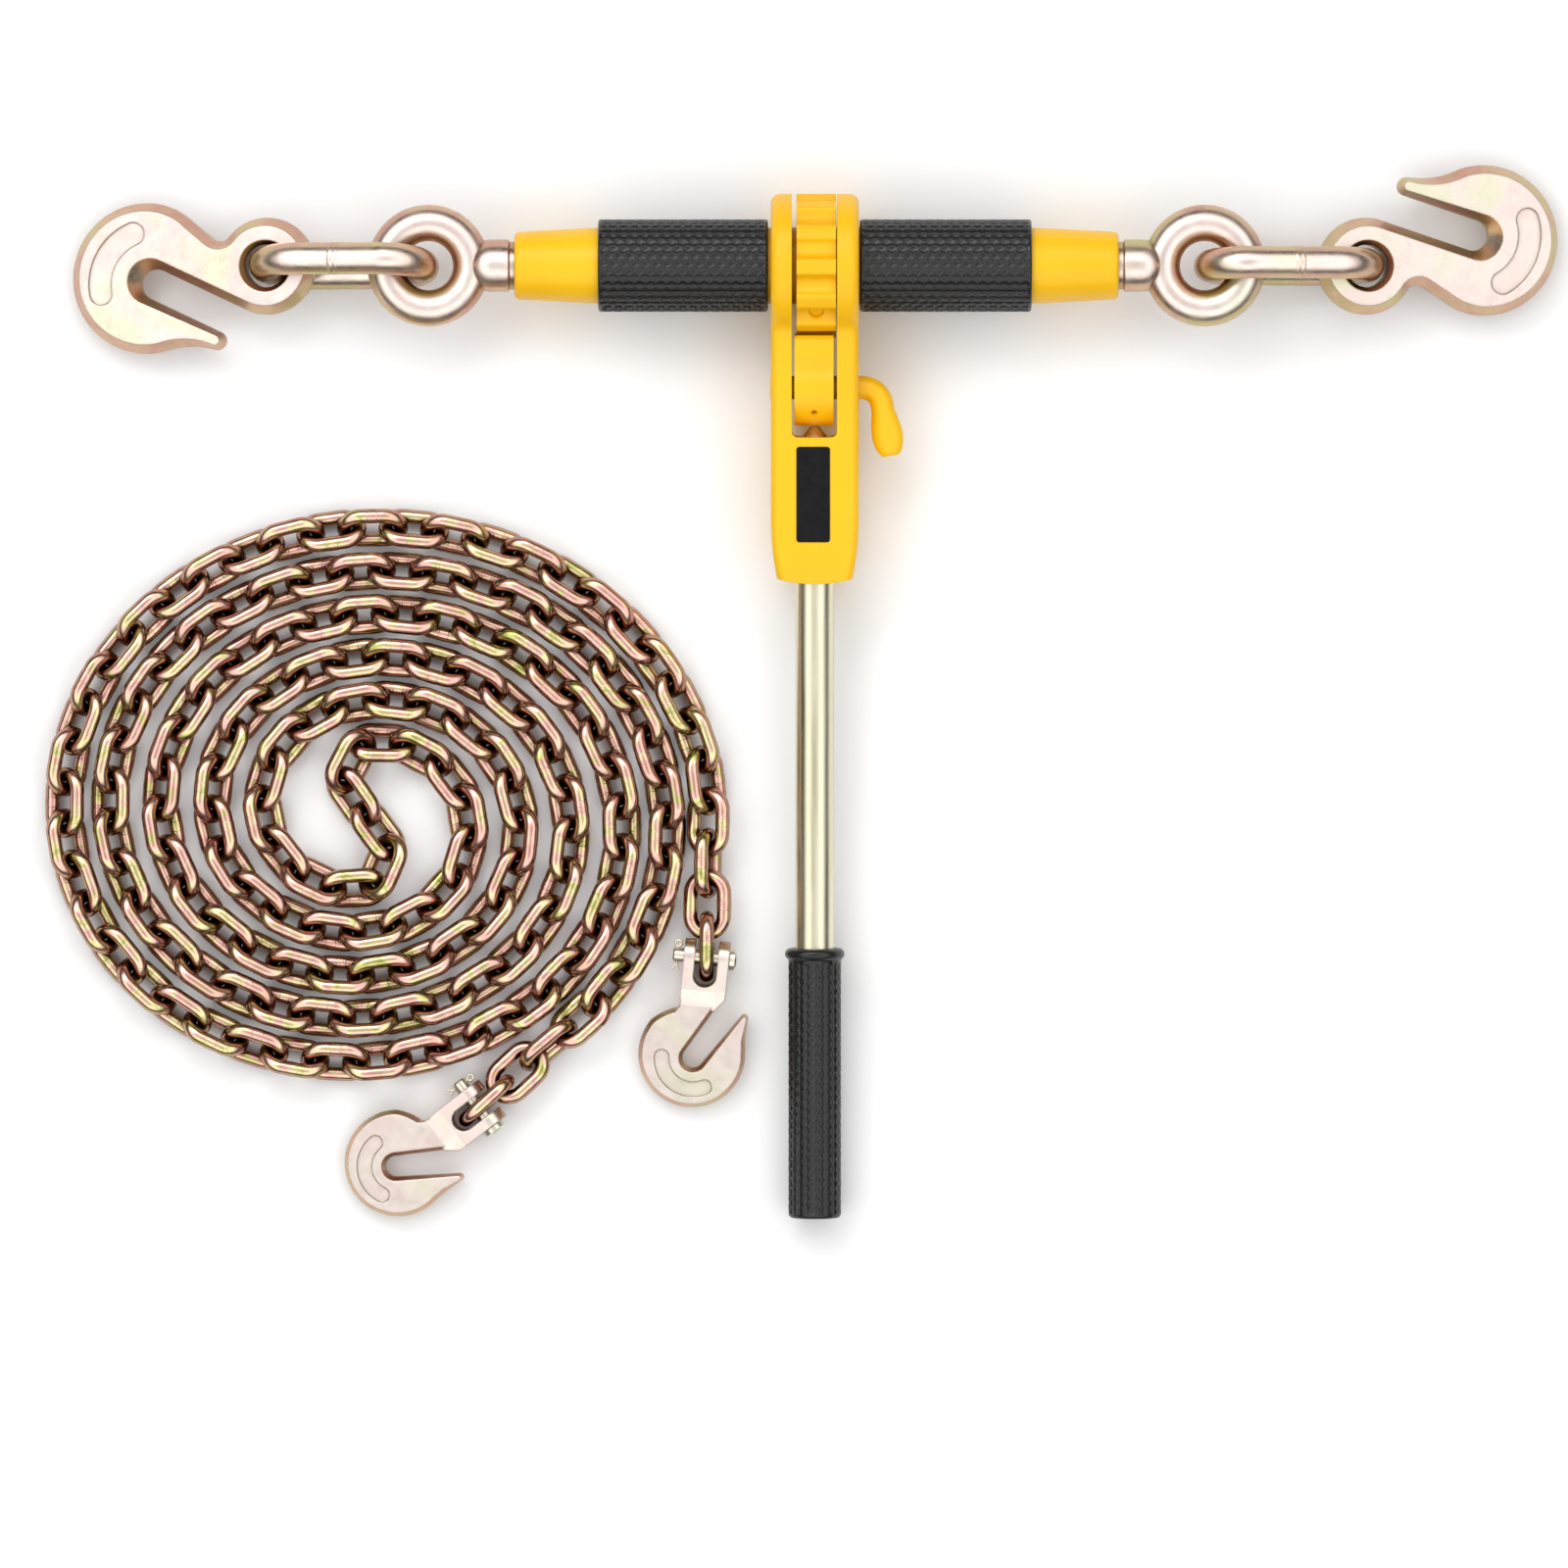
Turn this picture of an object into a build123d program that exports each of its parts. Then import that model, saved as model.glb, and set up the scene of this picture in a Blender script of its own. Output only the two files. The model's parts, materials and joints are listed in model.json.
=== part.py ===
from build123d import *
from math import acos, asin, atan2, cos, degrees, hypot, pi, radians, sin, sqrt
from random import Random
import os

os.makedirs("parts", exist_ok=True)

# A ratchet load binder and its binder chain, lying on a floor at Z = 0.  All lengths in mm.
# The barrel lies along X, the handle points to -Y, Z is up.  The chain is one flat double
# spiral in front of the left half of the binder.

# ---- binder placement ---------------------------------------------------------------------
BARREL_Y = 179.31
BARREL_Z = 30.2
BARREL_X = 6.86

# ---- barrel, gear and sleeves -------------------------------------------------------------
BARREL_HALF = 127.0
BARREL_R = 16.0
MOUTH_R = 14.15
BORE_R = 11.3
SLEEVE_R = 19.5
SLEEVE_OUT = 91.8
GEAR_R = 30.2
GEAR_TEETH = 12
VALLEY_R = 4.5
VALLEY_AT = 31.0
GEAR_X = (-8.4, 8.2)
GEAR_PIN_R = 3.2

# ---- yoke and handle ----------------------------------------------------------------------
YOKE_X = (-19.2, 17.8)
WINDOW_X = (-10.4, 8.6)
WINDOW_END = 72.0
YOKE_R = 30.2
ARM_HALF = 15.5
YOKE_END = 133.6
HANDLE_X = -0.7
TUBE_R = 8.2
TUBE_START = 100.0
GRIP_START = 287.5
GRIP_END = 401.3
GRIP_R = 11.15
HANDLE_TILT = degrees(asin((BARREL_Z - GRIP_R - 0.25) / (GRIP_END - 5.0)))

# ---- pawl and detent ----------------------------------------------------------------------
PIVOT = 51.3
SHAFT_R = 4.9
PAWL_X = (-9.3, 7.2)
CAM_R = 16.0
DETENT_R = 5.68

# ---- eye bolts ----------------------------------------------------------------------------
EYE_X = 163.2
EYE_RING = 17.97
EYE_TUBE = 7.68
SHANK_R = 11.0
THREAD_R = 10.9

# ---- connecting links and grab hooks ------------------------------------------------------
LINK_WIRE = 6.75
LINK_BEND = 15.75
LINK_STRAIGHT = 36.2
LINK_ROLL = 10.0
HOOK_HALF = 7.75
HOOK_EYE_R = 20.4
HOOK_HOLE_R = 9.0
HOOK_RIM = (HOOK_EYE_R + HOOK_HOLE_R) / 2
HOOK_EYE_Z = 22.5
HOOK_TILT = 8.9
RIGHT_TURN = 6.8

# ---- chain --------------------------------------------------------------------------------
WIRE = 3.0
BEND = 7.2
STRAIGHT = 9.6
PITCH = 17.5
CROSSING = 6.5

BINDER = Location((BARREL_X, BARREL_Y, BARREL_Z))
HANDLE = Location((BARREL_X, BARREL_Y, BARREL_Z), (HANDLE_TILT, 0, 0))


# ==== barrel =================================================================================

PIN_RADIAL = Plane(origin=(-0.1, 0, 0), x_dir=(1, 0, 0), z_dir=(0, -cos(pi / 4), sin(pi / 4)))

with BuildPart() as barrel_tube:
    with BuildSketch(Plane.XY) as wall:
        with BuildLine():
            Polyline(
                (-BARREL_HALF, BORE_R), (-BARREL_HALF, MOUTH_R), (-SLEEVE_OUT, BARREL_R),
                (SLEEVE_OUT, BARREL_R), (BARREL_HALF, MOUTH_R), (BARREL_HALF, BORE_R), close=True,
            )
        make_face()
        mouths = wall.vertices().filter_by_position(Axis.Y, MOUTH_R - 0.1, MOUTH_R + 0.1)
        fillet(mouths, radius=2.2)
    revolve(axis=Axis.X)
    # blind seat of the gear's dowel
    with BuildSketch(PIN_RADIAL.offset(14.0)):
        Circle(GEAR_PIN_R)
    extrude(amount=6.0, mode=Mode.SUBTRACT)
barrel_tube.part.label = "barrel_tube"
barrel_tube.part.locate(HANDLE)
export_step(barrel_tube.part, "parts/barrel_tube.step")

with BuildPart() as ratchet_gear:
    with BuildSketch(Plane.YZ.offset(GEAR_X[0])) as teeth:
        Circle(GEAR_R)
        with PolarLocations(VALLEY_AT, GEAR_TEETH, start_angle=15.0):
            Circle(VALLEY_R, mode=Mode.SUBTRACT)
        fillet(teeth.vertices(), radius=1.9)
        Circle(BARREL_R, mode=Mode.SUBTRACT)
    extrude(amount=GEAR_X[1] - GEAR_X[0])
    with BuildSketch(PIN_RADIAL.offset(10.0)):
        Circle(GEAR_PIN_R)
    extrude(amount=22.0, mode=Mode.SUBTRACT)
ratchet_gear.part.label = "ratchet_gear"
ratchet_gear.part.locate(HANDLE)
export_step(ratchet_gear.part, "parts/ratchet_gear.step")

with BuildPart() as gear_pin:
    with BuildSketch(PIN_RADIAL.offset(14.1)):
        Circle(GEAR_PIN_R)
    extrude(amount=12.0)
    chamfer(gear_pin.edges().filter_by(GeomType.CIRCLE), length=0.4)
gear_pin.part.label = "gear_pin"
gear_pin.part.locate(HANDLE)
export_step(gear_pin.part, "parts/gear_pin.step")


def make_sleeve(start, end, lip):
    """A hand sleeve between two X positions; lip is the rounding of each end."""
    with BuildPart() as sleeve:
        with BuildSketch(Plane.XY) as wall:
            with BuildLine():
                Polyline(
                    (start, BARREL_R), (start, SLEEVE_R), (end, SLEEVE_R), (end, BARREL_R), close=True
                )
            make_face()
            outer = wall.vertices().filter_by_position(Axis.Y, SLEEVE_R - 0.1, SLEEVE_R + 0.1)
            fillet(outer.sort_by(Axis.X)[0], radius=lip[0])
            fillet(wall.vertices().sort_by(Axis.Y)[-1], radius=lip[1])
        revolve(axis=Axis.X)
    return sleeve


sleeve_left = make_sleeve(-SLEEVE_OUT, YOKE_X[0] - 1.2, (1.9, 0.8))
sleeve_left.part.label = "sleeve_left"
sleeve_left.part.locate(BINDER)
export_step(sleeve_left.part, "parts/sleeve_left.step")

sleeve_right = make_sleeve(YOKE_X[1] + 0.4, SLEEVE_OUT - 1.4, (0.8, 1.9))
sleeve_right.part.label = "sleeve_right"
sleeve_right.part.locate(BINDER)
export_step(sleeve_right.part, "parts/sleeve_right.step")


# ==== yoke and handle ========================================================================

REACH = -sqrt(YOKE_R**2 - ARM_HALF**2)
LEFT, RIGHT = YOKE_X

with BuildPart() as yoke:
    # side view: a ring round the barrel and a straight arm that thins a little at its end
    with BuildSketch(Plane.YZ.offset(LEFT)) as side:
        Circle(YOKE_R)
        with BuildLine():
            Polyline((0, ARM_HALF), (-117, ARM_HALF), (-117, -ARM_HALF), (0, -ARM_HALF), close=True)
        make_face()
        with BuildLine():
            ThreePointArc((-117, ARM_HALF), (-126.5, ARM_HALF - 0.75), (-136, ARM_HALF - 3.0))
            Line((-136, ARM_HALF - 3.0), (-136, 3.0 - ARM_HALF))
            ThreePointArc((-136, 3.0 - ARM_HALF), (-126.5, 0.75 - ARM_HALF), (-117, -ARM_HALF))
            Line((-117, -ARM_HALF), (-117, ARM_HALF))
        make_face()
        fillet(side.vertices().filter_by_position(Axis.X, REACH - 0.1, REACH + 0.1), radius=9.0)
    extrude(amount=RIGHT - LEFT)
    # plan view: parallel sides that draw in towards a bowed end
    with BuildSketch(Plane.XY.offset(-40)) as plan:
        with BuildLine():
            Line((LEFT, 40), (LEFT, -106))
            ThreePointArc((LEFT, -106), (LEFT + 0.65, -119), (LEFT + 2.6, -131.4))
            ThreePointArc((LEFT + 2.6, -131.4), (HANDLE_X, -YOKE_END), (RIGHT - 2.6, -131.4))
            ThreePointArc((RIGHT - 2.6, -131.4), (RIGHT - 0.65, -119), (RIGHT, -106))
            Line((RIGHT, -106), (RIGHT, 40))
            Line((RIGHT, 40), (LEFT, 40))
        make_face()
    extrude(amount=80, mode=Mode.INTERSECT)
    flanks = yoke.faces().filter_by(Axis.X)
    fillet(flanks.edges(), radius=4.0)
    # barrel bore
    with BuildSketch(Plane.YZ.offset(-30)):
        Circle(BARREL_R + 0.08)
    extrude(amount=60, mode=Mode.SUBTRACT)
    # window for the gear and the pawl
    window_width = WINDOW_X[1] - WINDOW_X[0]
    with BuildSketch(Plane.XY.offset(-40)) as window:
        with Locations(((WINDOW_X[0] + WINDOW_X[1]) / 2, 20 - WINDOW_END / 2)):
            Rectangle(window_width, WINDOW_END + 40)
        fillet(window.vertices().group_by(Axis.Y)[0], radius=2.6)
    extrude(amount=80, mode=Mode.SUBTRACT)
    # pawl shaft bore, through both ears
    with BuildSketch(Plane.YZ.offset(-30)):
        with Locations((-PIVOT, 0)):
            Circle(SHAFT_R + 0.07)
    extrude(amount=60, mode=Mode.SUBTRACT)
    # detent bore in the web, and the handle tube's socket
    with BuildSketch(Plane.XZ.offset(WINDOW_END - 5)):
        with Locations((HANDLE_X, 0)):
            Circle(DETENT_R + 0.07)
    extrude(amount=5 + 94 - WINDOW_END, mode=Mode.SUBTRACT)
    with BuildSketch(Plane.XZ.offset(TUBE_START - 0.5)):
        with Locations((HANDLE_X, 0)):
            Circle(TUBE_R)
    extrude(amount=50, mode=Mode.SUBTRACT)
    # bright-machined inner edges of the ears
    rims = yoke.edges().filter_by(GeomType.CIRCLE).filter_by(
        lambda e: abs(e.radius - BARREL_R - 0.08) < 0.01
    )
    chamfer(rims, length=0.6)
yoke.part.label = "yoke"
yoke.part.locate(HANDLE)
export_step(yoke.part, "parts/yoke.step")

with BuildPart() as handle_tube:
    with BuildSketch(Plane.XZ.offset(TUBE_START)):
        with Locations((HANDLE_X, 0)):
            Circle(TUBE_R)
            Circle(TUBE_R - 2.2, mode=Mode.SUBTRACT)
    extrude(amount=GRIP_END - 4.0 - TUBE_START)
handle_tube.part.label = "handle_tube"
handle_tube.part.locate(HANDLE)
export_step(handle_tube.part, "parts/handle_tube.step")

with BuildPart() as handle_grip:
    with BuildSketch(Plane.XY) as wall:
        with BuildLine():
            Polyline(
                (0, -GRIP_START), (12.6, -GRIP_START), (12.6, -GRIP_START - 6.6), (12.0, -GRIP_START - 8.3),
                (GRIP_R, -GRIP_START - 8.3), (GRIP_R, -GRIP_END), (0, -GRIP_END), close=True,
            )
        make_face()
        corners = wall.vertices()
        fillet(corners.filter_by_position(Axis.X, 12.5, 12.7), radius=1.6)
        fillet(corners.filter_by_position(Axis.X, 11, 12).sort_by(Axis.Y)[0], radius=3.2)
    revolve(axis=Axis.Y)
    with BuildSketch(Plane.XZ.offset(GRIP_START - 1)):
        Circle(TUBE_R)
    extrude(amount=GRIP_END - 4.0 - GRIP_START + 1, mode=Mode.SUBTRACT)
handle_grip.part.label = "handle_grip"
handle_grip.part.locate(HANDLE * Location((HANDLE_X, 0, 0)))
export_step(handle_grip.part, "parts/handle_grip.step")

with BuildPart() as label_plate:
    with BuildSketch(Plane.XY.offset(ARM_HALF)):
        with Locations((-1.4, -95.8)):
            RectangleRounded(14.1, 40.1, 1.3)
    extrude(amount=0.6)
    chamfer(label_plate.faces().sort_by(Axis.Z)[-1].edges(), length=0.15)
label_plate.part.label = "label_plate"
label_plate.part.locate(HANDLE)
export_step(label_plate.part, "parts/label_plate.step")


# ==== pawl and detent ========================================================================

ROLL_PIN = Plane(
    origin=(-1.0, -PIVOT, 0), x_dir=(1, 0, 0), z_dir=(0, -cos(radians(50)), sin(radians(50)))
)

with BuildPart() as pawl:
    with BuildSketch(Plane.YZ.offset(PAWL_X[0])) as body:
        with BuildLine():
            Polyline(
                (-34.0, 6.6), (-30.2, 10.4), (-28.4, 12.6), (-31.0, 15.2), (-38.0, 15.5),
                (-64.4, 9.2), (-67.3, 0.0), (-64.4, -9.2), (-38.0, -15.5), (-31.0, -15.2),
                (-28.4, -12.6), (-30.2, -10.4), (-34.0, -6.6), close=True,
            )
        make_face()
        with Locations((-PIVOT, 0)):
            Circle(CAM_R)
        with BuildLine():
            Polyline((-20, 40), (-PIVOT, 40), (-PIVOT, -40), (-20, -40), close=True)
        nose = body.vertices().filter_by_position(Axis.X, -29.0, -28.0)
        fillet(nose, radius=1.7)
        fillet(body.vertices().filter_by_position(Axis.X, -38.5, -37.5), radius=8.0)
        fillet(body.vertices().filter_by_position(Axis.X, -31.5, -30.5), radius=2.5)
        fillet(body.vertices().filter_by_position(Axis.X, -34.5, -33.5), radius=2.5)
        # shallow seats of the detent's tip: neutral and the two working positions
        with Locations((-PIVOT, 0)):
            with PolarLocations(CAM_R + 3.0, 3, start_angle=167, angular_range=26, endpoint=True):
                Circle(3.6, mode=Mode.SUBTRACT)
            Circle(SHAFT_R, mode=Mode.SUBTRACT)
    extrude(amount=PAWL_X[1] - PAWL_X[0])
    with BuildSketch(ROLL_PIN.offset(-20)):
        Circle(1.3)
    extrude(amount=40, mode=Mode.SUBTRACT)
pawl.part.label = "pawl"
pawl.part.locate(HANDLE)
export_step(pawl.part, "parts/pawl.step")

LEVER_TURN = 80.0
LEVER_BEND = 8.5
with BuildPart() as pawl_lever:
    with BuildLine() as rod:
        straight = Line((YOKE_X[0] - 0.3, -PIVOT, 0), (YOKE_X[1] + 1.4, -PIVOT, 0))
        elbow = JernArc(straight @ 1, (1, 0, 0), LEVER_BEND, -LEVER_TURN)
        Line(elbow @ 1, elbow @ 1 + 3.0 * (elbow % 1))
    with BuildSketch(Plane(rod.line @ 0, x_dir=(0, 1, 0), z_dir=rod.line % 0)):
        Circle(SHAFT_R)
    sweep()
    # flattened thumb paddle at the end of the rod
    heel = elbow @ 1 + 3.0 * (elbow % 1)
    paddle_plane = Plane(heel, x_dir=(0, 0, 1), z_dir=elbow % 1)
    with BuildSketch(paddle_plane):
        Circle(SHAFT_R)
    with BuildSketch(paddle_plane.offset(5.0)):
        Ellipse(4.3, 6.0)
    with BuildSketch(paddle_plane.offset(14.0)):
        Ellipse(3.7, 6.1)
    with BuildSketch(paddle_plane.offset(19.0)):
        Ellipse(2.2, 3.6)
    loft()
    tip = pawl_lever.faces().sort_by(Axis.Y)[0]
    fillet(tip.edges(), radius=1.6)
    # slightly domed far end of the shaft, outside the left ear
    fillet(pawl_lever.faces().sort_by(Axis.X)[0].edges(), radius=0.7)
    with BuildSketch(ROLL_PIN.offset(-20)):
        Circle(1.3)
    extrude(amount=40, mode=Mode.SUBTRACT)
pawl_lever.part.label = "pawl_lever"
pawl_lever.part.locate(HANDLE)
export_step(pawl_lever.part, "parts/pawl_lever.step")

with BuildPart() as pawl_roll_pin:
    with BuildSketch(ROLL_PIN.offset(-12.0)):
        Circle(1.3)
        Circle(0.7, mode=Mode.SUBTRACT)
    extrude(amount=25.0)
pawl_roll_pin.part.label = "pawl_roll_pin"
pawl_roll_pin.part.locate(HANDLE)
export_step(pawl_roll_pin.part, "parts/pawl_roll_pin.step")

with BuildPart() as detent_plunger:
    with BuildSketch(Plane.XY) as half:
        with BuildLine():
            Polyline(
                (0, -67.65), (1.9, -67.65), (DETENT_R, -72.2), (DETENT_R, -84.0), (4.3, -84.0),
                (4.3, -76.0), (0, -76.0), close=True,
            )
        make_face()
        fillet(half.vertices().filter_by_position(Axis.X, 1.8, 2.0), radius=0.8)
    revolve(axis=Axis.Y)
detent_plunger.part.label = "detent_plunger"
detent_plunger.part.locate(HANDLE * Location((HANDLE_X, 0, 0)))
export_step(detent_plunger.part, "parts/detent_plunger.step")

with BuildPart() as detent_spring:
    with BuildLine():
        coil = Helix(2.5, 15.0, 3.5, center=(0, -78.4, 0), direction=(0, -1, 0))
    with BuildSketch(Plane(coil @ 0, z_dir=coil % 0)):
        Circle(0.5)
    sweep()
detent_spring.part.label = "detent_spring"
detent_spring.part.locate(HANDLE * Location((HANDLE_X, 0, 0)))
export_step(detent_spring.part, "parts/detent_spring.step")


# ==== eye bolts ==============================================================================

def make_eye_bolt():
    """An eye bolt on +X: ring in the XY plane, round shank, screw section and a captured end."""
    with BuildPart() as bolt:
        with BuildSketch(Plane.XZ):
            with Locations((EYE_X - EYE_RING, 0)):
                Circle(EYE_TUBE)
        revolve(axis=Axis((EYE_X, 0, 0), (0, 0, 1)))
        with BuildSketch(Plane.XY) as half:
            with BuildLine():
                Polyline(
                    (8.5, 0), (8.5, 7.5), (11.5, 7.5), (11.5, 6.0), (20.0, 6.0), (20.0, THREAD_R - 1.0),
                    (21.0, THREAD_R), (125.6, THREAD_R), (126.6, THREAD_R - 0.8), (129.0, THREAD_R - 0.8),
                    (129.6, SHANK_R), (136.6, SHANK_R),
                )
                ThreePointArc((136.6, SHANK_R), (136.6 + 7.6, 7.95), (136.6 + SHANK_R, 0))
                Line((136.6 + SHANK_R, 0), (8.5, 0))
            make_face()
        revolve(axis=Axis.X)
    return bolt


eye_bolt_left = make_eye_bolt()
eye_bolt_left.part.label = "eye_bolt_left"
eye_bolt_left.part.locate(BINDER * Location((0, 0, 0), (0, 0, 180)))
export_step(eye_bolt_left.part, "parts/eye_bolt_left.step")

eye_bolt_right = make_eye_bolt()
eye_bolt_right.part.label = "eye_bolt_right"
eye_bolt_right.part.locate(BINDER)
export_step(eye_bolt_right.part, "parts/eye_bolt_right.step")


def make_collar():
    """The stop collar that turns freely on the screw's inner end, inside the barrel."""
    with BuildPart() as collar:
        with BuildSketch(Plane.YZ.offset(12.0)):
            Circle(BORE_R - 0.08)
            Circle(6.06, mode=Mode.SUBTRACT)
        extrude(amount=7.4)
        chamfer(collar.edges().filter_by(GeomType.CIRCLE), length=0.5)
    return collar


screw_collar_left = make_collar()
screw_collar_left.part.label = "screw_collar_left"
screw_collar_left.part.locate(BINDER * Location((0, 0, 0), (0, 0, 180)))
export_step(screw_collar_left.part, "parts/screw_collar_left.step")

screw_collar_right = make_collar()
screw_collar_right.part.label = "screw_collar_right"
screw_collar_right.part.locate(BINDER)
export_step(screw_collar_right.part, "parts/screw_collar_right.step")


# ==== connecting links =======================================================================

def make_link(wire, bend, straight):
    """A closed round-wire link, long axis X, flat in the XY plane, centred on the origin."""
    with BuildPart() as link:
        with BuildSketch(Plane.YZ):
            with Locations((bend, 0), (-bend, 0)):
                Circle(wire)
        extrude(amount=straight / 2, both=True)
        for side in (1, -1):
            with BuildSketch(Plane.YZ.offset(side * straight / 2)):
                with Locations((-side * bend, 0)):
                    Circle(wire)
            revolve(axis=Axis((side * straight / 2, 0, 0), (0, 0, 1)), revolution_arc=180)
    return link


# the link's inner bow sits round the eye ring's rim, and its outer bow round the hook's rim
RIM_X = EYE_X + EYE_RING
LINK_SLANT = degrees(asin((BARREL_Z - HOOK_EYE_Z) / LINK_STRAIGHT))
LINK_SPAN = LINK_STRAIGHT * cos(radians(LINK_SLANT))


def link_place(turn, roll):
    """Where a connecting link lies: turn is 0 at the right end of the binder and 180 at the left."""
    at_rim = BINDER * Location((0, 0, 0), (0, 0, turn)) * Location((RIM_X, 0, 0))
    slanted = at_rim * Location((0, 0, 0), (0, LINK_SLANT, 0)) * Location((LINK_STRAIGHT / 2, 0, 0))
    return slanted * Location((0, 0, 0), (90 + roll, 0, 0))


link_left = make_link(LINK_WIRE, LINK_BEND, LINK_STRAIGHT)
link_left.part.label = "link_left"
link_left.part.locate(link_place(180, LINK_ROLL))
export_step(link_left.part, "parts/link_left.step")

link_right = make_link(LINK_WIRE, LINK_BEND, LINK_STRAIGHT)
link_right.part.label = "link_right"
link_right.part.locate(link_place(0, -4.0))
export_step(link_right.part, "parts/link_right.step")


# ==== grab hooks =============================================================================

# Hook outline in its own plane: eye at the origin, body on -X, slot opening towards +X -Y.
# The hook is a forging: a straight band at mid-thickness and a broad bevel up to each face.
SLOT_TURN = radians(-25.0)
SLOT_DIR = (cos(SLOT_TURN), sin(SLOT_TURN))
SLOT_SIDE = (-sin(SLOT_TURN), cos(SLOT_TURN))
THROAT = (-47.2, -7.65)
THROAT_R = 6.5
BODY_AT = (-51.4, -5.0)
BODY_R = 31.7
VALLEY_ARC = (-20.1, 15.5)
VALLEY_ARC_R = 5.0
NECK_SIDE = (0.638, 0.770)
TIP = (-21.5, -31.3)
TIP_R = 4.0
BAND_HALF = 1.55
BEVEL = 3.7
PANEL_R = 23.2
PANEL_HALF = 4.9
PANEL_DEEP = 0.8


def shift(point, *steps):
    """The point moved by a list of (direction, distance) steps."""
    x, y = point
    for (dx, dy), distance in steps:
        x, y = x + dx * distance, y + dy * distance
    return (x, y)


def polar(centre, radius, angle):
    return (centre[0] + radius * cos(radians(angle)), centre[1] + radius * sin(radians(angle)))


def hook_outline(inset):
    """The hook's outline drawn in by inset; the throat bevels more and the tip less."""
    share = inset / BEVEL
    eye_r = HOOK_EYE_R - inset
    throat_r = THROAT_R + share * 3.35
    throat = shift(THROAT, (SLOT_DIR, -2.25 * share), (SLOT_SIDE, 0.35 * share))
    tip_r = TIP_R - 2.0 * share
    # the jaw's inner edge is the line touching the throat from below and the tip from above
    gap = (throat[0] - TIP[0], throat[1] - TIP[1])
    lean = atan2(gap[1], gap[0]) - acos((throat_r + tip_r) / hypot(*gap))
    jaw = (cos(lean), sin(lean))
    body_r = BODY_R - inset
    eye_low = shift((0, 0), (SLOT_SIDE, -eye_r))
    throat_top = shift(throat, (SLOT_SIDE, throat_r))
    throat_low = shift(throat, (jaw, -throat_r))
    tip_top = shift(TIP, (jaw, tip_r))
    tip_low = polar(TIP, tip_r, -100)
    jaw_root = polar(BODY_AT, body_r, -78.4)
    hump = polar(BODY_AT, body_r, 80.2)
    slope_top = shift((-31.5, 18.46), (NECK_SIDE, -inset))
    valley_r = VALLEY_ARC_R + inset
    slope_low = shift(VALLEY_ARC, (NECK_SIDE, -valley_r))
    eye_top = shift((0, 0), (VALLEY_ARC, eye_r / hypot(*VALLEY_ARC)))
    Line(eye_low, throat_top)
    ThreePointArc(throat_top, shift(throat, (SLOT_DIR, -throat_r)), throat_low)
    Line(throat_low, tip_top)
    ThreePointArc(tip_top, polar(TIP, tip_r, -25), tip_low)
    ThreePointArc(tip_low, (-33.0, -33.8 + 0.86 * inset), jaw_root)
    ThreePointArc(jaw_root, polar(BODY_AT, body_r, 180), hump)
    ThreePointArc(hump, shift((-38.4, 23.5), ((0.45, 0.89), -inset)), slope_top)
    Line(slope_top, slope_low)
    ThreePointArc(slope_low, shift(VALLEY_ARC, ((0.110, -0.994), valley_r)), eye_top)
    ThreePointArc(eye_top, polar((0, 0), eye_r, 30), eye_low)


def make_grab_hook():
    """A forged eye grab hook, centred on its mid-plane."""
    with BuildPart() as hook:
        with BuildSketch(Plane.XY):
            with BuildLine():
                hook_outline(0)
            make_face()
        extrude(amount=BAND_HALF, both=True)
        for side in (1, -1):
            with BuildSketch(Plane.XY.offset(side * BAND_HALF)):
                with BuildLine():
                    hook_outline(0)
                make_face()
            with BuildSketch(Plane.XY.offset(side * HOOK_HALF)):
                with BuildLine():
                    hook_outline(BEVEL)
                make_face()
            loft(ruled=True)
        # eye hole with broken edges
        with BuildSketch(Plane.XZ):
            with BuildLine():
                Polyline(
                    (0, -HOOK_HALF), (HOOK_HOLE_R + 2.0, -HOOK_HALF), (HOOK_HOLE_R, 3.0 - HOOK_HALF),
                    (HOOK_HOLE_R, HOOK_HALF - 3.0), (HOOK_HOLE_R + 2.0, HOOK_HALF), (0, HOOK_HALF),
                    close=True,
                )
            make_face()
        revolve(axis=Axis.Z, mode=Mode.SUBTRACT)
        # sunk panel along the back of the body, on both faces
        for side in (1, -1):
            with BuildSketch(Plane.XY.offset(side * HOOK_HALF)):
                with BuildLine():
                    CenterArc(THROAT, PANEL_R, 113, 76.6)
                trace(line_width=2 * PANEL_HALF)
                with Locations(polar(THROAT, PANEL_R, 113), polar(THROAT, PANEL_R, 189.6)):
                    Circle(PANEL_HALF)
            extrude(amount=-side * PANEL_DEEP, mode=Mode.SUBTRACT)
    return hook


def hook_place(turn, swing):
    """Hook hung on the outer bow of its link, tilted until its far end rests on the ground."""
    bow = BINDER * Location((0, 0, 0), (0, 0, turn)) * Location((RIM_X + LINK_SPAN, 0, HOOK_EYE_Z - BARREL_Z))
    tilted = bow * Location((0, 0, 0), (0, HOOK_TILT, 0))
    return tilted * Location((HOOK_RIM, 0, 0), (0, 0, 180 + swing))


grab_hook_left = make_grab_hook()
grab_hook_left.part.label = "grab_hook_left"
grab_hook_left.part.locate(hook_place(180, 0))
export_step(grab_hook_left.part, "parts/grab_hook_left.step")

grab_hook_right = make_grab_hook()
grab_hook_right.part.label = "grab_hook_right"
grab_hook_right.part.locate(hook_place(0, RIGHT_TURN))
export_step(grab_hook_right.part, "parts/grab_hook_right.step")


# ==== chain ==================================================================================

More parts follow.
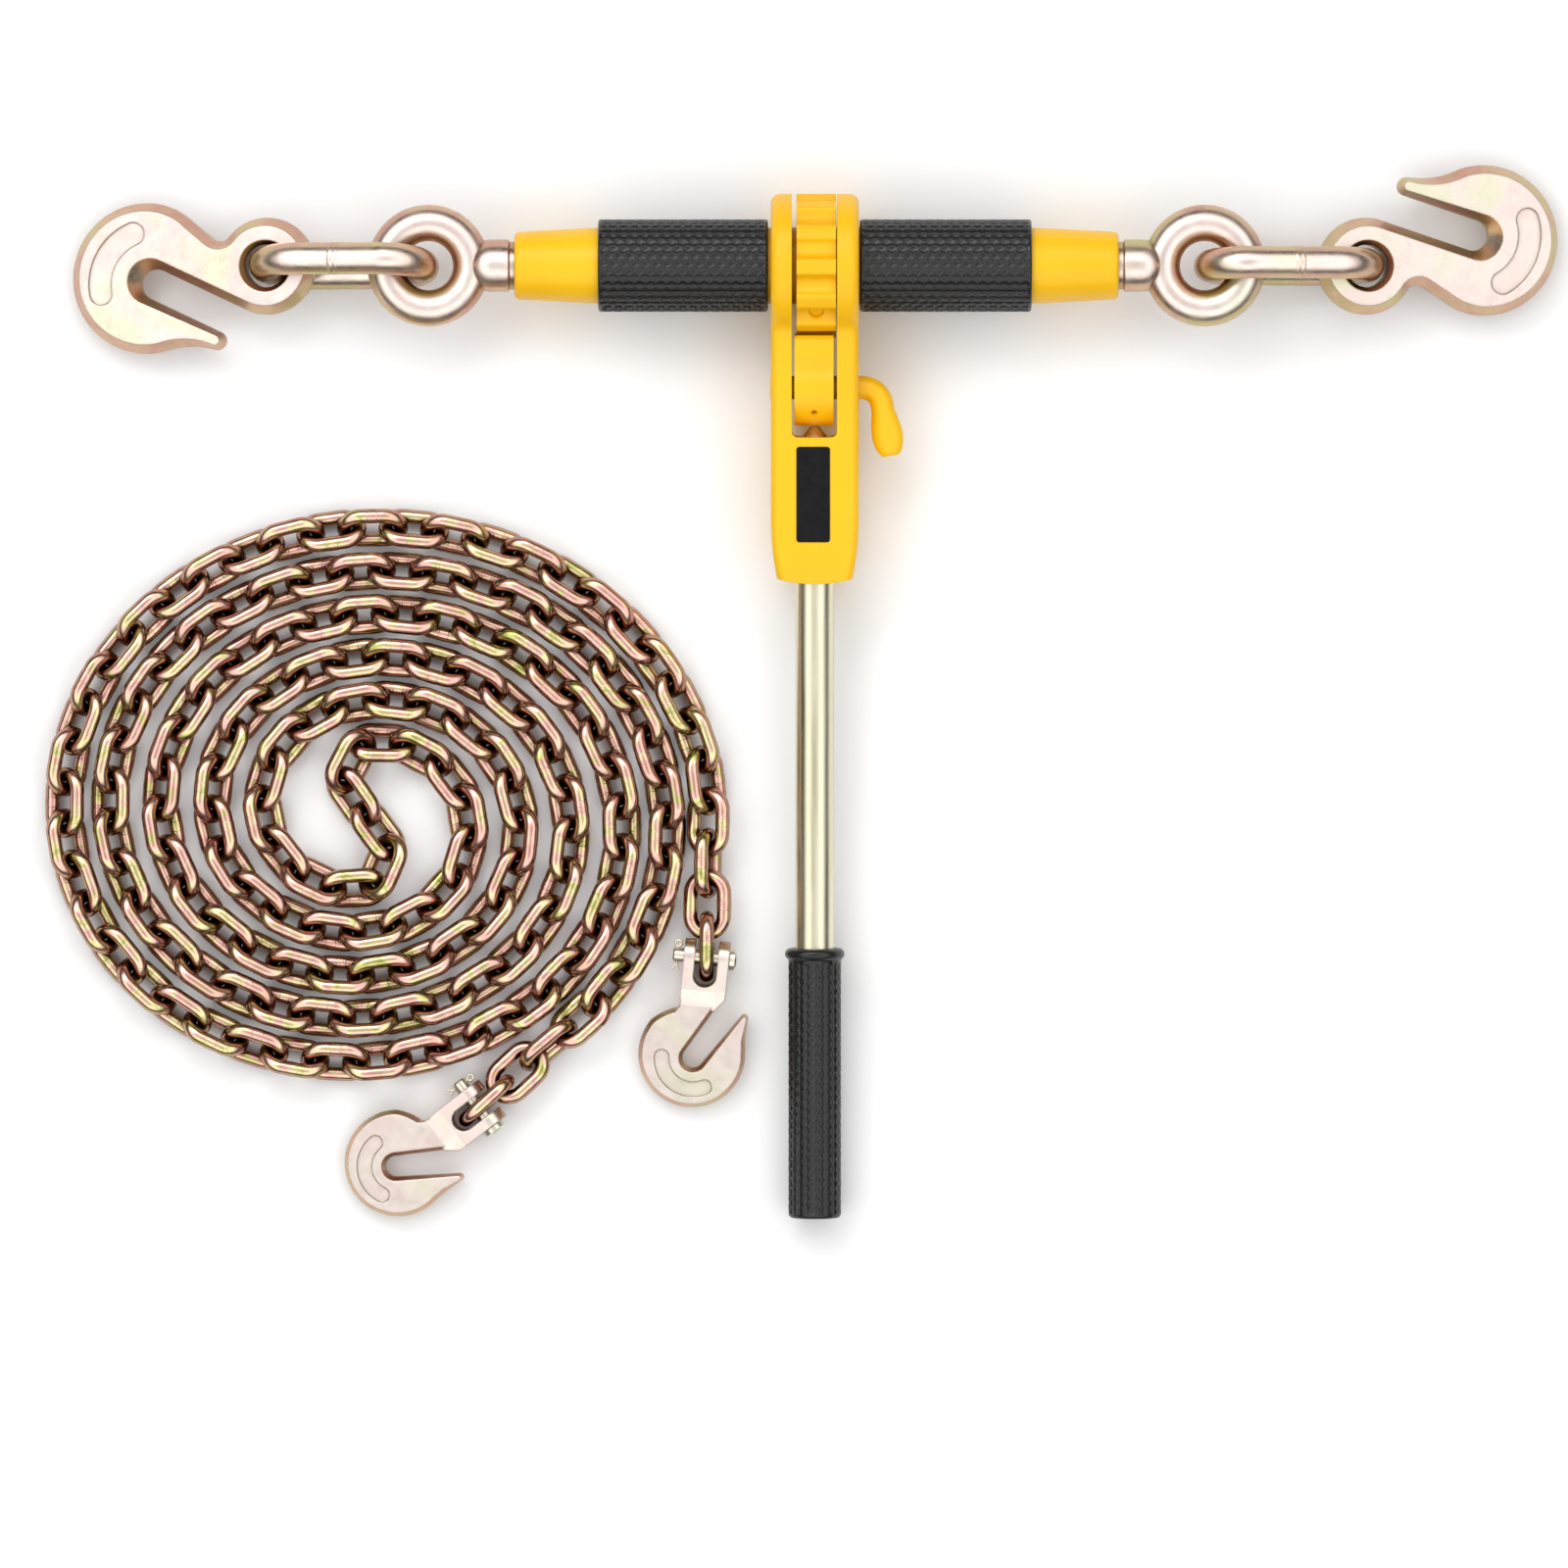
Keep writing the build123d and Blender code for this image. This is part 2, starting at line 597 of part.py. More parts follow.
# The coil is a flat double spiral: arm A runs in from hook A, turns back through an S at the
# middle, and arm B runs out to hook B.  Arm B is arm A turned half round about the middle.
COIL_AT = (-183.04, -52.29)
COIL_STRETCH = 14.5
COIL_OUTER = 133.2
COIL_STEP = 36.4
ROUND_FROM = 20.0
ROUND_OVER = 80.0
ARM_A_FROM = 4.0
ARM_B_FROM = 125.0
ARMS_TO = 950.0
TURN_PULL = 30.0
MIDDLE_PULL = 30.0
TURN_THROUGH = 90.0
PIN_A = (-39.44, -111.89)
PIN_B = (-136.74, -176.29)
PIN_Z = 10.2


def spiral(angle):
    """A turn of the coil: wider than it is deep outside, and rounder towards the middle."""
    radius = COIL_OUTER - COIL_STEP * (angle + 24) / 360
    wide = radius + COIL_STRETCH * min(1.0, max(0.0, (radius - ROUND_FROM) / ROUND_OVER))
    return (wide * cos(radians(angle)), radius * sin(radians(angle)))


def coil_curve():
    """The run of the chain from pin A to pin B, as closely spaced points."""
    cx, cy = COIL_AT
    steps = int((ARMS_TO - ARM_A_FROM) / 2)
    inward = [spiral(ARM_A_FROM + 2 * k) for k in range(steps + 1)]
    # the S: arm A turns back through the middle, and the same curve half turned joins arm B
    ex, ey = inward[-1]
    px, py = inward[-2]
    size = hypot(ex - px, ey - py)
    leave = (ex + TURN_PULL * (ex - px) / size, ey + TURN_PULL * (ey - py) / size)
    through = atan2(ey, ex) - radians(TURN_THROUGH)
    arrive = (-MIDDLE_PULL * cos(through), -MIDDLE_PULL * sin(through))
    middle = []
    for k in range(1, 31):
        t = k / 30
        a, b, c = (1 - t) ** 3, 3 * t * (1 - t) ** 2, 3 * t * t * (1 - t)
        middle.append((a * ex + b * leave[0] + c * arrive[0], a * ey + b * leave[1] + c * arrive[1]))
    middle += [(-x, -y) for x, y in reversed(middle[:-1])]
    steps = int((ARMS_TO - ARM_B_FROM) / 2)
    outward = [spiral(ARMS_TO - 2 * k) for k in range(steps + 1)]
    points = [(cx + x, cy + y) for x, y in inward + middle]
    points += [(cx - x, cy - y) for x, y in outward]
    return [PIN_A] + points + [PIN_B]


def run_lengths(points):
    total = [0.0]
    for (x0, y0), (x1, y1) in zip(points, points[1:]):
        total.append(total[-1] + hypot(x1 - x0, y1 - y0))
    return total


def point_along(points, total, distance):
    distance = min(max(distance, 0.0), total[-1])
    k = 0
    low, high = 0, len(total) - 1
    while high - low > 1:
        k = (low + high) // 2
        if total[k] <= distance:
            low = k
        else:
            high = k
    (x0, y0), (x1, y1) = points[low], points[high]
    f = (distance - total[low]) / (total[high] - total[low])
    return (x0 + f * (x1 - x0), y0 + f * (y1 - y0))


def facing(heading, roll):
    """Unit normal of a link's plane, from its heading and its roll about its own length."""
    h, r = radians(heading), radians(roll)
    return (sin(h) * sin(r), -cos(h) * sin(r), cos(r))


def crossing_line(first, second, heading):
    """Direction in which two crossed links pull on each other: the line their planes share."""
    a, b = facing(*first), facing(*second)
    x, y, z = a[1] * b[2] - a[2] * b[1], a[2] * b[0] - a[0] * b[2], a[0] * b[1] - a[1] * b[0]
    size = sqrt(x * x + y * y + z * z)
    if x * cos(radians(heading)) + y * sin(radians(heading)) < 0:
        size = -size
    return (x / size, y / size, z / size)


def lay_chain():
    """Every link from hook A to hook B, as (x, y, z, heading, roll)."""
    points = coil_curve()
    total = run_lengths(points)
    count = 2 * int(round(total[-1] / PITCH / 2))
    reach = 2 * (BEND - CROSSING / 2)
    rng = Random(7)
    rolls = []
    for k in range(count):
        from_end = min(k, count - 1 - k)
        drift = 45 * max(0.0, 1 - from_end / 4)
        if from_end > 4:
            drift = rng.uniform(-3.0, 3.0)
        if k >= count / 2:
            drift = -drift
        rolls.append(45 + drift if k % 2 == 0 else -45 + drift)
    # each link starts from the front bow of the one before and steers for the curve
    (x, y), run = points[0], 0.0
    places, steps = [], []
    heading = degrees(atan2(points[1][1] - y, points[1][0] - x))
    for k in range(count):
        pull = (0.0, 0.0, 0.0)
        if k:
            aim = point_along(points, total, run + PITCH)
            was = heading
            for _ in range(4):
                pull = crossing_line((was, rolls[k - 1]), (heading, rolls[k]), was)
                bx, by = x + reach * pull[0], y + reach * pull[1]
                heading = degrees(atan2(aim[1] - by, aim[0] - bx))
            x, y = bx, by
        c, s = cos(radians(heading)), sin(radians(heading))
        places.append((x + STRAIGHT / 2 * c, y + STRAIGHT / 2 * s, heading))
        steps.append(reach * pull[2])
        x, y = x + STRAIGHT * c, y + STRAIGHT * s
        run += PITCH if k else STRAIGHT
    heights = []
    for k, roll in enumerate(rolls):
        after = steps[k + 1] if k + 1 < count else 0.0
        raised = max(0.0, (steps[k] - after) / 2)
        heights.append(WIRE + BEND * abs(sin(radians(roll))) + raised)
    # towards each end the chain climbs gently to the upright link on the hook's pin
    for k in range(6):
        heights[k + 1] = max(heights[k + 1], heights[k] - 0.6)
        heights[-k - 2] = max(heights[-k - 2], heights[-k - 1] - 0.6)
    return [(x, y, z, heading, roll) for (x, y, heading), z, roll in zip(places, heights, rolls)]


CHAIN = lay_chain()
one_link = make_link(WIRE, BEND, STRAIGHT)


def link_at(x, y, z, heading, roll):
    return Location((x, y, z), (0, 0, heading)) * Location((0, 0, 0), (roll, 0, 0))


# the first and last links hang on the hook pins; the rest run in ten lengths of chain
chain_end_a = make_link(WIRE, BEND, STRAIGHT)
chain_end_a.part.label = "chain_end_a"
chain_end_a.part.locate(link_at(*CHAIN[0]))
export_step(chain_end_a.part, "parts/chain_end_a.step")

chain_end_b = make_link(WIRE, BEND, STRAIGHT)
chain_end_b.part.label = "chain_end_b"
chain_end_b.part.locate(link_at(*CHAIN[-1]))
export_step(chain_end_b.part, "parts/chain_end_b.step")

LENGTHS = 10
inner_links = CHAIN[1:-1]
for number in range(LENGTHS):
    start = number * len(inner_links) // LENGTHS
    stop = (number + 1) * len(inner_links) // LENGTHS
    with BuildPart() as chain_length:
        with Locations(*[link_at(*place) for place in inner_links[start:stop]]):
            add(one_link.part)
    name = f"chain_{number + 1:02d}"
    chain_length.part.label = name
    export_step(chain_length.part, f"parts/{name}.step")


# ==== clevis grab hooks ======================================================================

# Clevis hook in its own frame: pin axis along X through the origin, chain towards +Y, hook on -Y.
CLEVIS_HALF = 4.8
CLEVIS_THROAT = (-1.5, -42.5)
CLEVIS_THROAT_R = 4.4
CLEVIS_BACK = (-2.15, -41.1)
CLEVIS_BACK_R = 22.5
CLEVIS_TILT = 5.0
FORK_GAP = 4.9
FORK_HALF = 9.6
FORK_R = 7.5
FORK_FLOOR = -12.1
HOOK_PIN_R = 3.1


CLEVIS_SIDE = (-0.866, 0.5)
CLEVIS_BAND = 1.6
CLEVIS_BEVEL = 1.7


def clevis_outline(inset):
    """The hook below its forked head, drawn in by inset; the throat opens more and the tip less."""
    back_r = CLEVIS_BACK_R - inset
    slot_low = shift(CLEVIS_THROAT, (CLEVIS_SIDE, -CLEVIS_THROAT_R - inset))
    slot_top = shift(CLEVIS_THROAT, (CLEVIS_SIDE, CLEVIS_THROAT_R + inset))
    back_top = polar(CLEVIS_BACK, back_r, 145)
    back_side = polar(CLEVIS_BACK, back_r, 0)
    tip_inner = shift((16.9, -23.2), (CLEVIS_SIDE, -0.5 * inset))
    tip_outer = (20.0 - 0.5 * inset, -24.6)
    waist = (-11.8 + 0.6 * inset, -22.6 - 0.8 * inset)
    Polyline((9.2 - inset, -13.0), (-9.6 + inset, -13.0), (-9.0 + inset, -18.8), waist)
    ThreePointArc(waist, (-16.9 + 0.4 * inset, -25.2 - 0.9 * inset), back_top)
    ThreePointArc(back_top, polar(CLEVIS_BACK, back_r, 250), back_side)
    Polyline(back_side, (19.7 - inset, -33.0), tip_outer)
    ThreePointArc(tip_outer, (18.9, -22.3 - 0.6 * inset), tip_inner)
    Line(tip_inner, slot_low)
    ThreePointArc(slot_low, polar(CLEVIS_THROAT, CLEVIS_THROAT_R + inset, -120), slot_top)
    Polyline(slot_top, shift((9.0, -15.7), (CLEVIS_SIDE, inset)), (9.2 - inset, -13.0))


def make_clevis_hook():
    """A small forged grab hook whose forked head takes the last chain link on a pin."""
    with BuildPart() as hook:
        with BuildSketch(Plane.XY):
            with BuildLine():
                clevis_outline(0)
            make_face()
        extrude(amount=CLEVIS_BAND, both=True)
        for side in (1, -1):
            with BuildSketch(Plane.XY.offset(side * CLEVIS_BAND)):
                with BuildLine():
                    clevis_outline(0)
                make_face()
            with BuildSketch(Plane.XY.offset(side * CLEVIS_HALF)):
                with BuildLine():
                    clevis_outline(CLEVIS_BEVEL)
                make_face()
            loft(ruled=True)
        # forked head: two ears round the pin
        with BuildSketch(Plane.YZ.offset(-FORK_HALF)):
            with BuildLine():
                Polyline((0, -FORK_R), (-14.0, -6.6), (-22.0, -4.2), (-22.0, 4.2), (-14.0, 6.6), (0, FORK_R))
                ThreePointArc((0, FORK_R), (FORK_R, 0), (0, -FORK_R))
            make_face()
        extrude(amount=2 * FORK_HALF)
        # room between the ears for the link, with a round floor
        with BuildSketch(Plane.XY):
            with Locations((0, FORK_FLOOR + FORK_GAP)):
                Circle(FORK_GAP)
            with Locations((0, 5.0)):
                Rectangle(2 * FORK_GAP, 2 * (5.0 - FORK_FLOOR - FORK_GAP))
        extrude(amount=20, both=True, mode=Mode.SUBTRACT)
        # trim the head's lower flanks back to the hook's neck
        with BuildSketch(Plane.XY):
            with BuildLine():
                Polyline((11, -15.0), (4.5, -23.5), (11, -30.0), close=True)
            make_face()
            with BuildLine():
                Polyline((-11, -15.5), (-9.0, -18.8), (-9.8, -22.5), (-13, -22.5), close=True)
            make_face()
        extrude(amount=20, both=True, mode=Mode.SUBTRACT)
        with BuildSketch(Plane.YZ.offset(-20)):
            Circle(HOOK_PIN_R + 0.05)
        extrude(amount=40, mode=Mode.SUBTRACT)
        # sunk panel round the back, on both faces
        for side in (1, -1):
            with BuildSketch(Plane.XY.offset(side * CLEVIS_HALF)):
                with BuildLine():
                    CenterArc(CLEVIS_THROAT, 13.2, 183, 114)
                trace(line_width=6.4)
                with Locations(polar(CLEVIS_THROAT, 13.2, 183), polar(CLEVIS_THROAT, 13.2, 297)):
                    Circle(3.2)
            extrude(amount=-side * 0.6, mode=Mode.SUBTRACT)
    return hook


def make_clevis_pin():
    """Headed pin with a cross hole for the cotter."""
    with BuildPart() as pin:
        with BuildSketch(Plane.YZ.offset(-14.2)):
            Circle(HOOK_PIN_R)
        extrude(amount=14.2 + FORK_HALF + 0.2)
        with BuildSketch(Plane.YZ.offset(FORK_HALF + 0.2)):
            Circle(4.75)
        extrude(amount=2.8)
        chamfer(pin.faces().sort_by(Axis.X)[-1].edges(), length=0.7)
        chamfer(pin.faces().sort_by(Axis.X)[0].edges(), length=0.6)
        with BuildSketch(Plane.XZ.offset(-6)):
            with Locations((-12.3, 0)):
                Circle(0.68)
        extrude(amount=12, mode=Mode.SUBTRACT)
    return pin


def make_cotter():
    """Split pin through the end of the clevis pin: round eye and two spread legs."""
    with BuildPart() as cotter:
        with BuildSketch(Plane.XZ.offset(-4.0)):
            with Locations((-12.3, 0)):
                Circle(0.62)
        extrude(amount=8.0)
        with BuildSketch(Plane.YZ.offset(-12.3)):
            with Locations((5.1 + 1.3, 0)):
                Circle(0.6)
        revolve(axis=Axis((-12.3, 5.1, 0), (0, 0, 1)))
        for lean in (-42, 24):
            leg = Plane(origin=(-12.3, -3.9, 0), z_dir=(sin(radians(lean)), -cos(radians(lean)), 0))
            with BuildSketch(leg):
                Circle(0.5)
            extrude(amount=2.8)
    return cotter


def clevis_place(pin, heading):
    """Frame of a clevis hook from its pin and the direction of the chain leaving it."""
    return Location(pin, (0, 0, heading - 90)) * Location((0, 0, 0), (CLEVIS_TILT, 0, 0))


HALF_LINK = STRAIGHT / 2
ax, ay, az, a_heading, _ = CHAIN[0]
pin_a = (ax - HALF_LINK * cos(radians(a_heading)), ay - HALF_LINK * sin(radians(a_heading)), az)
A_PLACE = clevis_place(pin_a, a_heading - 5.0)
bx, by, bz, b_heading, _ = CHAIN[-1]
pin_b = (bx + HALF_LINK * cos(radians(b_heading)), by + HALF_LINK * sin(radians(b_heading)), bz)
B_PLACE = clevis_place(pin_b, b_heading + 180 - 5.0)

for name, place in (("a", A_PLACE), ("b", B_PLACE)):
    clevis_hook = make_clevis_hook()
    clevis_hook.part.label = f"clevis_hook_{name}"
    clevis_hook.part.locate(place)
    export_step(clevis_hook.part, f"parts/clevis_hook_{name}.step")
    clevis_pin = make_clevis_pin()
    clevis_pin.part.label = f"clevis_pin_{name}"
    clevis_pin.part.locate(place)
    export_step(clevis_pin.part, f"parts/clevis_pin_{name}.step")
    cotter_pin = make_cotter()
    cotter_pin.part.label = f"cotter_pin_{name}"
    cotter_pin.part.locate(place)
    export_step(cotter_pin.part, f"parts/cotter_pin_{name}.step")
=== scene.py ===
import json
import math
import random

import bmesh
import bpy
import numpy as np
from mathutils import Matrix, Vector


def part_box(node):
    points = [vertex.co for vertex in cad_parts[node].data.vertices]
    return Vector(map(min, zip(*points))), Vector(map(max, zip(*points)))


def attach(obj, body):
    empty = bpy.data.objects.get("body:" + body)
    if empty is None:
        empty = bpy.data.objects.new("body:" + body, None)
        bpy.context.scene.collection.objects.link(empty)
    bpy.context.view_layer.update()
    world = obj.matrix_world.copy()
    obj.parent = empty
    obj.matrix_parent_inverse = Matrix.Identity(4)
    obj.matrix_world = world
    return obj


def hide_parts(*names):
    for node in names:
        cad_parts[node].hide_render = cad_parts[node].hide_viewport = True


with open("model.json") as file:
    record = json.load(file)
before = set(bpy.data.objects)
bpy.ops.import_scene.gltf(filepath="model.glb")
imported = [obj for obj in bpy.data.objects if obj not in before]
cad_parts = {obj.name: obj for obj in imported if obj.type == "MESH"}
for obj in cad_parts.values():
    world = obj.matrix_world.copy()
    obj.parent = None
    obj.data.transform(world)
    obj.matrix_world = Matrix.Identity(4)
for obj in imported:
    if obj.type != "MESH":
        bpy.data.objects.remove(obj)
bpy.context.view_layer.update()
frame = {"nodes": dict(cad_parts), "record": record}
nodes = frame["nodes"]
MM = 0.001
SEED = 11
rng = random.Random(SEED)


# ==== materials ==============================================================================

NOISE_ROUGHNESS = 0.55
CREVICE_SAMPLES = 6
BEVEL_SAMPLES = 4
MIX_FACTOR, MIX_A, MIX_B, MIX_RESULT = 0, 6, 7, 2
NEAR_BLACK = [(0.3, (0.005, 0.005, 0.006)), (0.7, (0.010, 0.010, 0.011))]


def fill_ramp(ramp, stops):
    while len(ramp.elements) < len(stops):
        ramp.elements.new(0.5)
    for element, (at, colour) in zip(ramp.elements, stops):
        element.position = at
        element.color = (*colour, 1.0)


class Shader:
    """A Principled material with small helpers for its nodes."""

    def __init__(self, name, **values):
        self.mat = bpy.data.materials.new(name)
        self.mat.use_nodes = True
        self.tree = self.mat.node_tree
        self.bsdf = self.tree.nodes["Principled BSDF"]
        self.coords = self.tree.nodes.new("ShaderNodeTexCoord")
        for key, value in values.items():
            self.bsdf.inputs[key.replace("_", " ")].default_value = value

    def node(self, kind, **settings):
        made = self.tree.nodes.new(kind)
        for key, value in settings.items():
            setattr(made, key, value)
        return made

    def link(self, a, b):
        self.tree.links.new(a, b)

    def mapped(self, scale):
        mapping = self.node("ShaderNodeMapping")
        mapping.inputs["Scale"].default_value = scale
        self.link(self.coords.outputs["Object"], mapping.inputs["Vector"])
        return mapping.outputs["Vector"]

    def noise(self, scale, detail=3.0, stretch=(1, 1, 1), distortion=0.0):
        made = self.node("ShaderNodeTexNoise")
        made.inputs["Scale"].default_value = scale
        made.inputs["Detail"].default_value = detail
        made.inputs["Roughness"].default_value = NOISE_ROUGHNESS
        made.inputs["Distortion"].default_value = distortion
        self.link(self.mapped(stretch), made.inputs["Vector"])
        return made.outputs["Fac"]

    def ramp(self, value, stops):
        made = self.node("ShaderNodeValToRGB")
        fill_ramp(made.color_ramp, stops)
        self.link(value, made.inputs["Fac"])
        return made.outputs["Color"]

    def span(self, value, low, high, to_low=0.0, to_high=1.0):
        """Maps low..high onto to_low..to_high, clamped."""
        made = self.node("ShaderNodeMapRange")
        for at, number in enumerate((low, high, to_low, to_high), start=1):
            made.inputs[at].default_value = number
        self.link(value, made.inputs[0])
        return made.outputs[0]

    def mix(self, factor, a, b):
        """From a to b as factor rises; either may be a plain colour."""
        made = self.node("ShaderNodeMix", data_type="RGBA")
        self.link(factor, made.inputs[MIX_FACTOR])
        for value, at in ((a, MIX_A), (b, MIX_B)):
            if isinstance(value, tuple):
                made.inputs[at].default_value = (*value, 1.0)
            else:
                self.link(value, made.inputs[at])
        return made.outputs[MIX_RESULT]

    def upward(self):
        """How far the surface faces up or down at rest, 0 to 1; the zinc materials use it to paint
        shade on sideways faces.
        """
        split = self.node("ShaderNodeSeparateXYZ")
        self.link(self.coords.outputs["Normal"], split.inputs[0])
        made = self.node("ShaderNodeMath", operation="ABSOLUTE")
        self.link(split.outputs["Z"], made.inputs[0])
        return made.outputs[0]

    def crevice_shade(self, reach, low, high):
        """1 on open surface, falling to 0 in corners narrower than reach, in mm: where shade is painted
        into corners.
        """
        made = self.node("ShaderNodeAmbientOcclusion", samples=CREVICE_SAMPLES)
        made.inputs["Distance"].default_value = reach * MM
        return self.span(made.outputs["AO"], low, high)

    def bump(self, *layers, soften=0.0):
        """Layers of (height, strength, distance in mm); soften is a radius in mm for sharp edges."""
        normal = None
        if soften:
            made = self.node("ShaderNodeBevel", samples=BEVEL_SAMPLES)
            made.inputs["Radius"].default_value = soften * MM
            normal = made.outputs["Normal"]
        for height, strength, distance in layers:
            made = self.node("ShaderNodeBump")
            made.inputs["Strength"].default_value = strength
            made.inputs["Distance"].default_value = distance * MM
            self.link(height, made.inputs["Height"])
            if normal is not None:
                self.link(normal, made.inputs["Normal"])
            normal = made.outputs["Normal"]
        self.link(normal, self.bsdf.inputs["Normal"])

    def colour(self, value):
        self.link(value, self.bsdf.inputs["Base Color"])

    def roughness(self, value):
        self.link(value, self.bsdf.inputs["Roughness"])


def yellow_paint():
    s = Shader("yellow_paint", Specular_IOR_Level=0.35)
    broad = s.noise(14.0, 2.0)
    s.colour(s.ramp(broad, [(0.3, (0.88, 0.47, 0.001)), (0.7, (0.93, 0.53, 0.003))]))
    s.roughness(s.span(s.noise(120.0, 4.0), 0.3, 0.7, 0.34, 0.44))
    s.bump((s.noise(900.0, 2.0), 0.12, 0.05), (s.noise(60.0, 2.0), 0.10, 0.25), soften=0.5)
    return s.mat


def black_rubber():
    s = Shader("black_rubber", Specular_IOR_Level=0.45)
    s.colour(s.ramp(s.noise(220.0, 4.0), NEAR_BLACK))
    s.roughness(s.span(s.noise(340.0, 4.0), 0.3, 0.7, 0.22, 0.36))
    s.bump((s.noise(1400.0, 3.0), 0.25, 0.06))
    return s.mat


def forged_zinc(name, soften):
    """Yellow zinc plate on a forging: pale pink and straw on faces turned up or down, with painted
    shade making sideways faces darker tan and corners dark brown.
    """
    s = Shader(name, Metallic=1.0)
    flats = s.ramp(
        s.noise(26.0, 4.0, distortion=0.6),
        [(0.32, (0.76, 0.73, 0.55)), (0.45, (0.82, 0.72, 0.65)), (0.55, (0.81, 0.66, 0.61)),
         (0.68, (0.75, 0.73, 0.54))],
    )
    # Painted shade: darker tan for faces turned sideways.
    shaded_flanks = s.ramp(
        s.noise(34.0, 4.0, distortion=0.8),
        [(0.32, (0.50, 0.44, 0.20)), (0.48, (0.58, 0.40, 0.26)), (0.62, (0.54, 0.30, 0.23)),
         (0.75, (0.48, 0.45, 0.22))],
    )
    # Painted shade by facing: sideways faces take the darker flank colour, faces up or down the pale
    # flats.
    plate = s.mix(s.span(s.upward(), 0.60, 0.97), shaded_flanks, flats)
    # Painted shade: corners narrower than 2.2 mm darken towards dark brown.
    s.colour(s.mix(s.crevice_shade(2.2, 0.30, 0.97), (0.20, 0.13, 0.07), plate))
    s.roughness(s.span(s.noise(180.0, 5.0), 0.3, 0.7, 0.24, 0.38))
    s.bump((s.noise(520.0, 3.0), 0.35, 0.10), (s.noise(80.0, 3.0), 0.35, 0.5), soften=soften)
    return s.mat


def chain_zinc():
    """Glossy yellow zinc on the chain: pink, gold and green films on faces turned up or down, with
    painted shade making the sides dark red-brown and the corners near black.
    """
    s = Shader("chain_zinc", Metallic=1.0)
    film = s.ramp(
        s.noise(75.0, 3.0, distortion=1.2),
        [(0.30, (0.42, 0.42, 0.13)), (0.41, (0.72, 0.60, 0.32)), (0.50, (0.74, 0.48, 0.37)),
         (0.59, (0.70, 0.38, 0.34)), (0.70, (0.50, 0.48, 0.18))],
    )
    # Painted shade: dark red-brown for the sides of the links.
    deep = s.ramp(
        s.noise(90.0, 3.0, distortion=1.0),
        [(0.35, (0.24, 0.11, 0.02)), (0.65, (0.28, 0.07, 0.04))],
    )
    # Painted shade by facing: sideways faces take the dark red-brown, faces up or down the films.
    plate = s.mix(s.span(s.upward(), 0.25, 0.90), deep, film)
    # Painted shade: where links meet and in corners within 5 mm, the colour falls towards near black.
    s.colour(s.mix(s.crevice_shade(5.0, 0.25, 0.85), (0.07, 0.022, 0.008), plate))
    s.roughness(s.span(s.noise(200.0, 4.0), 0.3, 0.7, 0.14, 0.26))
    s.bump((s.noise(500.0, 4.0), 0.18, 0.08), (s.noise(110.0, 2.0), 0.15, 0.3))
    return s.mat


def tube_zinc():
    """Drawn tube with a pale straw plate, brushed along its length."""
    s = Shader("tube_zinc", Metallic=1.0)
    streaks = s.noise(260.0, 4.0, stretch=(1, 0.03, 1))
    s.colour(s.ramp(streaks, [(0.3, (0.62, 0.58, 0.40)), (0.7, (0.80, 0.76, 0.60))]))
    s.roughness(s.span(streaks, 0.3, 0.7, 0.22, 0.36))
    s.bump((s.noise(900.0, 3.0, stretch=(1, 0.02, 1)), 0.12, 0.05))
    return s.mat


def bright_zinc(name, low, high):
    s = Shader(name, Metallic=1.0)
    s.colour(s.ramp(s.noise(90.0, 3.0), [(0.3, low), (0.7, high)]))
    s.roughness(s.span(s.noise(240.0, 4.0), 0.3, 0.7, 0.24, 0.40))
    s.bump((s.noise(600.0, 4.0), 0.2, 0.06), soften=0.2)
    return s.mat


def black_label():
    s = Shader("label", Specular_IOR_Level=0.12)
    s.colour(s.ramp(s.noise(300.0, 3.0), NEAR_BLACK))
    s.roughness(s.span(s.noise(200.0, 3.0), 0.3, 0.7, 0.38, 0.5))
    s.bump((s.noise(1200.0, 2.0), 0.1, 0.03))
    return s.mat


MATERIALS = {
    "yellow_paint": yellow_paint(),
    "black_rubber": black_rubber(),
    "zinc_yellow": forged_zinc("zinc_yellow", 1.3),
    "chain_zinc": chain_zinc(),
    "tube_zinc": tube_zinc(),
    "pin_steel": bright_zinc("pin_steel", (0.66, 0.63, 0.50), (0.82, 0.78, 0.66)),
    "spring_steel": bright_zinc("spring_steel", (0.34, 0.34, 0.35), (0.52, 0.52, 0.54)),
    "label": black_label(),
}


def dress(obj, name):
    obj.data.materials.clear()
    obj.data.materials.append(MATERIALS[name])


slot_of = {part["node"]: part["material_slot"] for part in frame["record"]["subparts"]}
for node, obj in nodes.items():
    dress(obj, slot_of[node])


# ==== geometry helpers =======================================================================

def new_piece(name, verts, faces, material, body, smooth=True):
    mesh = bpy.data.meshes.new(name)
    mesh.from_pydata(verts, [], faces)
    shell = bmesh.new()
    shell.from_mesh(mesh)
    bmesh.ops.recalc_face_normals(shell, faces=shell.faces)
    shell.to_mesh(mesh)
    shell.free()
    if smooth:
        mesh.shade_smooth()
    obj = bpy.data.objects.new(name, mesh)
    bpy.context.scene.collection.objects.link(obj)
    obj.data.materials.append(MATERIALS[material])
    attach(obj, body)
    return obj


def node_points(node):
    obj = nodes[node]
    points = np.empty(len(obj.data.vertices) * 3)
    obj.data.vertices.foreach_get("co", points)
    return points.reshape(-1, 3)


def spread(points, centre):
    """Unit directions in columns, from the one the points spread over least to the most."""
    return np.linalg.eigh(np.cov((points - centre).T))[1]


def grid_faces(rows, columns, closed_rows=False):
    """Quads between neighbouring rings; closed_rows also joins the last ring to the first."""
    faces = []
    for i in range(rows if closed_rows else rows - 1):
        for j in range(columns):
            here, above = i * columns, (i + 1) % rows * columns
            after = (j + 1) % columns
            faces.append((here + j, here + after, above + after, above + j))
    return faces


